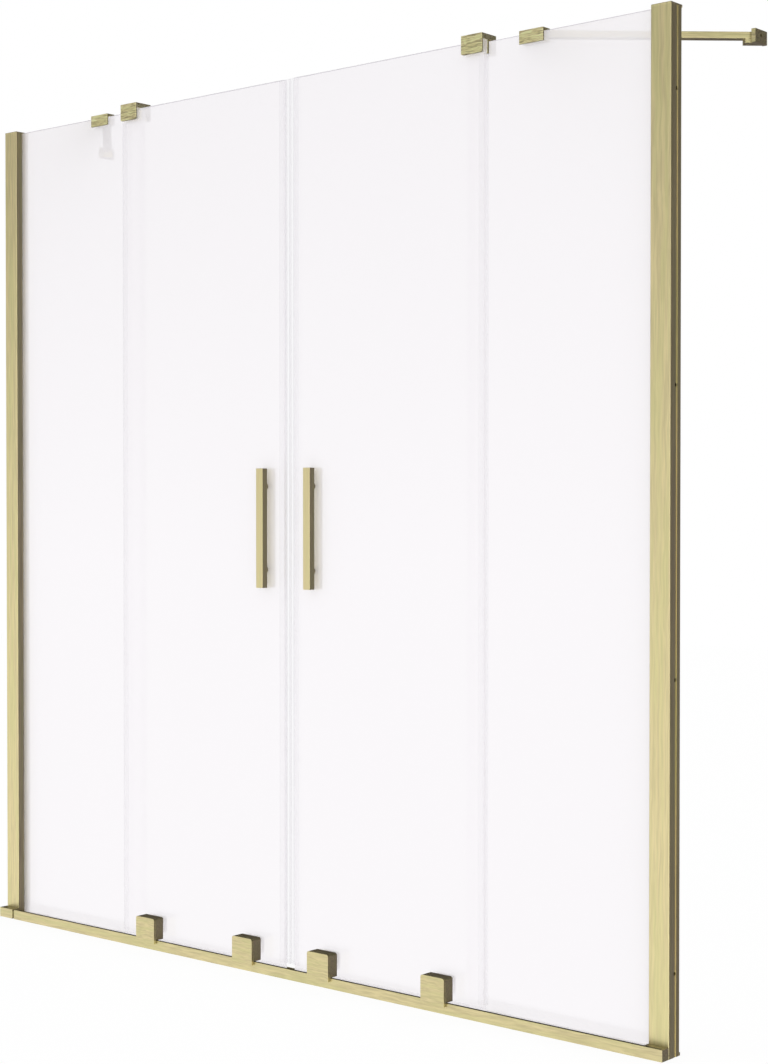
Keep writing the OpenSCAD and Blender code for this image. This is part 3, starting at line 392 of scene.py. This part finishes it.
def easedCopy(node, width, segments=2, corner=None, rounded=True):
    deselectAll()
    source = cadNodes[node]
    piece = bpy.data.objects.new(node + "_eased", source.data.copy())
    scene.collection.objects.link(piece)
    piece.data.materials.clear()
    piece.select_set(True)
    bpy.context.view_layer.objects.active = piece
    bpy.ops.object.mode_set(mode="EDIT")
    bpy.ops.mesh.select_all(action="SELECT")
    bpy.ops.mesh.remove_doubles(threshold=easing["weld"])
    bpy.ops.mesh.dissolve_limited(angle_limit=math.radians(easing["flat"]))
    if corner:
        roundCorners(piece.data, corner)
    bpy.ops.object.mode_set(mode="OBJECT")
    ease = piece.modifiers.new("ease", "BEVEL")
    ease.width = width
    ease.segments = segments
    ease.limit_method = "ANGLE"
    ease.angle_limit = math.radians(easing["sharp"])
    ease.use_clamp_overlap = True
    bpy.ops.object.modifier_apply(modifier=ease.name)
    if rounded:
        bpy.ops.object.shade_smooth_by_angle(angle=math.radians(easing["smooth"]))
        level = piece.modifiers.new("flat faces", "WEIGHTED_NORMAL")
        level.weight = 100
        level.keep_sharp = True
        bpy.ops.object.modifier_apply(modifier=level.name)
    else:
        bpy.ops.object.shade_flat()
    for point in piece.data.vertices:        # no eased corner drops below the model
        point.co.z = max(point.co.z, 0.0)
    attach(piece, bodyOf[node])
    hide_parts(node)
    return piece

# A second material, on the faces that a test picks out
def finishFaces(piece, material, picked):
    piece.data.materials.append(material)
    for face in piece.data.polygons:
        face.material_index = 1 if picked(face) else 0

# A clear piece that neither shades nor brightens what is beside it
def letLightPass(piece):
    piece.visible_diffuse = False
    piece.visible_glossy = False
    piece.visible_transmission = False


# Metal pieces: brushing, width of the eased edges and radius of the front corners

goldPieces = {
    "bottom_track": {"brushing": "track", "ease": 0.0001},
    "left_track_end_piece": {"brushing": "track", "ease": 0.0001},
    "right_track_end_cap": {"brushing": "track", "ease": 0.0003},
}
goldPairs = {
    "wall_channel": {"brushing": "channel", "ease": 0.0002},
    "cover_profile": {"brushing": "profile", "ease": 0.0006, "corner": 0.0013},
    "top_cap": {"brushing": "profile", "ease": 0.0006, "corner": 0.0013},
    "guide_block": {"brushing": "fitting", "ease": 0.0004, "corner": 0.0009},
    "bar_clip": {"brushing": "fitting", "ease": 0.0004, "corner": 0.0009},
    "support_bar": {"brushing": "bar", "ease": 0.0006},
    "wall_flange": {"brushing": "bar", "ease": 0.0008},
    "outer_handle": {"brushing": "handle", "ease": 0.0003},
    "inner_handle": {"brushing": "handle", "ease": 0.0003},
    "carriage_covers": {"brushing": "carriage", "ease": 0.0015},
    "carriage_body_outer": {"brushing": "carriage", "ease": 0.0006},
    "carriage_body_inner": {"brushing": "carriage", "ease": 0.0006},
    "carriage_clamps": {"brushing": "carriage", "ease": 0.0006},
}
for part, sizes in goldPairs.items():
    for side in ("left", "right"):
        goldPieces[side + "_" + part] = sizes

# Where the faces lie that have a finish of their own, painted shade or a painted highlight
facePlaces = {
    "level": 0.9,                        # least part of a normal that points up or down
    "grooveDepth": 0.7435, "grooveFront": -0.0016, "grooveBack": 0.0046,
    "railTop": 0.017,
    "jointStart": -0.7079,
}

# The drill groove of a wall channel, fainter brushed and coloured lighter as a painted highlight
def inGroove(face):
    across = facePlaces["grooveFront"] < face.center.y < facePlaces["grooveBack"]
    return across and abs(face.center.x) > facePlaces["grooveDepth"]

# The top of the running rail, coloured dark as painted shade
def onRailTop(face):
    return face.normal.z > facePlaces["level"] and face.center.z > facePlaces["railTop"]

# The plug in the open joint of the rail, coloured dark as painted shade
def inOpenJoint(face):
    return face.center.x > facePlaces["jointStart"]

# The ground edges along the top and foot of a pane
def onGlassEdge(face):
    return abs(face.normal.z) > facePlaces["level"]

# Painted highlight on the channels' grooves, painted shade on the rail's top and in the open joint
paintedShadeAndHighlight = {
    "left_wall_channel": ("groove", inGroove),
    "right_wall_channel": ("groove", inGroove),
    "bottom_track": ("paintedShade", onRailTop),
    "left_track_end_piece": ("paintedShade", inOpenJoint),
}
noShadeInFilm = ("clamps", "track", "guide_block", "bar_clip")

for node, sizes in goldPieces.items():
    piece = easedCopy(node, sizes["ease"], corner=sizes.get("corner"))
    piece.data.materials.append(gold.get(node, gold[sizes["brushing"]]))
    if node in paintedShadeAndHighlight:
        finish, picked = paintedShadeAndHighlight[node]
        finishFaces(piece, gold[finish], picked)
    if any(word in node for word in noShadeInFilm):
        piece.visible_transmission = False
print("metal fittings eased")


# Glass panes

paneSizes = {"ease": 0.0006, "segments": 1}
for node in ("left_fixed_glass", "right_fixed_glass", "left_door_glass", "right_door_glass"):
    piece = easedCopy(node, paneSizes["ease"], paneSizes["segments"], rounded=False)
    piece.data.materials.append(glassPane)
    finishFaces(piece, glassEdge, onGlassEdge)
    letLightPass(piece)
print("glass panels eased")


# Seals, nylon and steel keep their CAD shapes

plainFinish = {"white_nylon": nylon, "steel": steel, "clear_seal": vinyl}
for node, cadObject in cadNodes.items():
    if slotOf[node] in plainFinish:
        cadObject.data.materials.clear()
        cadObject.data.materials.append(magnetVinyl if "magnetic" in node else plainFinish[slotOf[node]])
        if slotOf[node] == "clear_seal":
            letLightPass(cadObject)
print("seals, nylon and steel finished")


# Studio: soft light from in front and behind, stronger from the left, dark above and below.
# Metal mirrors a white wall in front of the screen and a dark one behind it, because its
# side and top faces are dark in the photo.
# The spans are places on the unit sphere round the screen, along X, Y or Z.
studio = {
    "white": 1.0,                        # the room as the camera sees it
    "left": 1.15, "right": 0.40,         # level that lights from each side
    "overhead": 1.3,                     # how much is taken away above and below
    "mirrorFront": 1.09, "mirrorBack": 0.10, "backTint": "#D8C8FF",
    "backSpan": (-0.10, 0.35),
    "mirrorTop": 0.05,                   # share of the mirrored level that is left high up
    "fallSpan": (-0.04, 0.45),
    "farDrop": 1.75,                     # how much faster it falls off at the far left
    "farSpan": (-0.55, -0.78),
    "topBox": 0.85,                      # soft box right above, which only level faces mirror
    "topSpan": (0.80, 0.95),
    "strip": 0.90,                       # extra light at the right, which front edges catch
    "stripSpan": (0.50, 0.75),
}

# One for the rays that show the room as it is, which come straight to the camera or are
# spread by the film on the glass, and nothing for the others
def showsRoom(tree, rays):
    shown = addNode(tree, "ShaderNodeMath",
                    links={0: rays.outputs["Is Camera Ray"], 1: rays.outputs["Is Transmission Ray"]},
                    operation="MAXIMUM")
    return shown.outputs["Value"]

def makeStudio():
    world = bpy.data.worlds.new("studio")
    scene.world = world
    world.use_nodes = True
    world.cycles.sampling_method = "NONE"
    tree = world.node_tree
    tree.nodes.clear()
    place = addNode(tree, "ShaderNodeTexCoord")
    axis = addNode(tree, "ShaderNodeSeparateXYZ", links={"Vector": place.outputs["Generated"]})
    across, depth, height = (axis.outputs[name] for name in "XYZ")

    # What lights matt surfaces: a level that changes from left to right, plus the square of
    # the depth, less a multiple of the square of the height
    side = addNode(tree, "ShaderNodeMapRange",
                   {"From Min": -1.0, "From Max": 1.0,
                    "To Min": studio["left"], "To Max": studio["right"]},
                   {"Value": across})
    deep = addNode(tree, "ShaderNodeMath", links={0: depth, 1: depth, 2: side.outputs["Result"]},
                   operation="MULTIPLY_ADD")
    tall = addNode(tree, "ShaderNodeMath", links={0: height, 1: height}, operation="MULTIPLY")
    level = addNode(tree, "ShaderNodeMath", {1: -studio["overhead"]},
                    {0: tall.outputs["Value"], 2: deep.outputs["Value"]},
                    operation="MULTIPLY_ADD")
    soft = addNode(tree, "ShaderNodeMath", {1: 0.0}, {0: level.outputs["Value"]},
                   operation="MAXIMUM")

    # What metal and glass mirror: a wall in front or behind, the strip, the fall with height
    # and the box above
    behind = addNode(tree, "ShaderNodeMapRange",
                     {"From Min": studio["backSpan"][0], "From Max": studio["backSpan"][1]},
                     {"Value": depth}, interpolation_type="SMOOTHSTEP")
    wall = addNode(tree, "ShaderNodeMix", {"A": studio["mirrorFront"], "B": studio["mirrorBack"]},
                   {"Factor": behind.outputs["Result"]}, data_type="FLOAT")
    far = addNode(tree, "ShaderNodeMapRange",
                  {"From Min": studio["farSpan"][0], "From Max": studio["farSpan"][1],
                   "To Min": 1.0, "To Max": studio["farDrop"]},
                  {"Value": across})
    steep = addNode(tree, "ShaderNodeMath", links={0: height, 1: far.outputs["Result"]},
                    operation="MULTIPLY")
    fall = addNode(tree, "ShaderNodeMapRange",
                   {"From Min": studio["fallSpan"][0], "From Max": studio["fallSpan"][1],
                    "To Min": 1.0, "To Max": studio["mirrorTop"]},
                   {"Value": steep.outputs["Value"]})
    strip = addNode(tree, "ShaderNodeMapRange",
                    {"From Min": studio["stripSpan"][0], "From Max": studio["stripSpan"][1],
                     "To Min": 1.0, "To Max": 1.0 + studio["strip"]},
                    {"Value": across})
    walls = addNode(tree, "ShaderNodeMath",
                    links={0: wall.outputs["Result"], 1: strip.outputs["Result"]},
                    operation="MULTIPLY")
    mirror = addNode(tree, "ShaderNodeMath",
                     links={0: walls.outputs["Value"], 1: fall.outputs["Result"]},
                     operation="MULTIPLY")
    above = addNode(tree, "ShaderNodeMapRange",
                    {"From Min": studio["topSpan"][0], "From Max": studio["topSpan"][1]},
                    {"Value": height}, interpolation_type="SMOOTHSTEP")
    lit = addNode(tree, "ShaderNodeMix", {"B": studio["topBox"]},
                  {"Factor": above.outputs["Result"], "A": mirror.outputs["Value"]},
                  data_type="FLOAT")

    # Each kind of ray gets its own level
    rays = addNode(tree, "ShaderNodeLightPath")
    glossy = rays.outputs["Is Glossy Ray"]
    shown = showsRoom(tree, rays)
    room = addNode(tree, "ShaderNodeMix",
                   links={"Factor": glossy, "A": soft.outputs["Value"], "B": lit.outputs["Result"]},
                   data_type="FLOAT")
    strength = addNode(tree, "ShaderNodeMix", {"B": studio["white"]},
                       {"Factor": shown, "A": room.outputs["Result"]}, data_type="FLOAT")
    mirrored = addNode(tree, "ShaderNodeMath", links={0: glossy, 1: behind.outputs["Result"]},
                       operation="MULTIPLY")
    tint = addNode(tree, "ShaderNodeMix",
                   {"A": plainWhite, "B": linearColour(studio["backTint"])},
                   {"Factor": mirrored.outputs["Value"]}, data_type="RGBA")
    background = addNode(tree, "ShaderNodeBackground",
                         links={"Color": tint.outputs["Result"],
                                "Strength": strength.outputs["Result"]})
    output = addNode(tree, "ShaderNodeOutputWorld")
    tree.links.new(background.outputs["Background"], output.inputs["Surface"])

makeStudio()


# Floor, painted white, whose shadows are mostly washed out as in the photo

floorSizes = {
    "side": 14.0,
    "below": 0.0002,                     # gap under the track
    "paint": "#F2F2F2",
    "white": 1.10,
    "share": 0.85,                       # of plain white light, which hides the shadow
}

def makeFloor():
    deselectAll()
    bpy.ops.mesh.primitive_plane_add(size=floorSizes["side"], location=(0.0, 0.0, -floorSizes["below"]))
    floor = bpy.context.object
    floor.name = "studio_floor"
    material, tree = newMaterial("white studio floor")
    rays = addNode(tree, "ShaderNodeLightPath")
    share = addNode(tree, "ShaderNodeMath", {1: floorSizes["share"]},
                    {0: showsRoom(tree, rays)}, operation="MULTIPLY")
    paint = addNode(tree, "ShaderNodeBsdfDiffuse", {"Color": linearColour(floorSizes["paint"])})
    white = addNode(tree, "ShaderNodeEmission", {"Color": plainWhite, "Strength": floorSizes["white"]})
    mix = addNode(tree, "ShaderNodeMixShader",
                  links={0: share.outputs["Value"], 1: paint.outputs["BSDF"],
                         2: white.outputs["Emission"]})
    finishMaterial(tree, mix.outputs["Shader"])
    material.cycles.emission_sampling = "NONE"
    floor.data.materials.append(material)
    floor.visible_glossy = False
    floor.visible_diffuse = False
    floor.visible_shadow = False

makeFloor()
scene.view_settings.view_transform = "Standard"
print("studio lit")
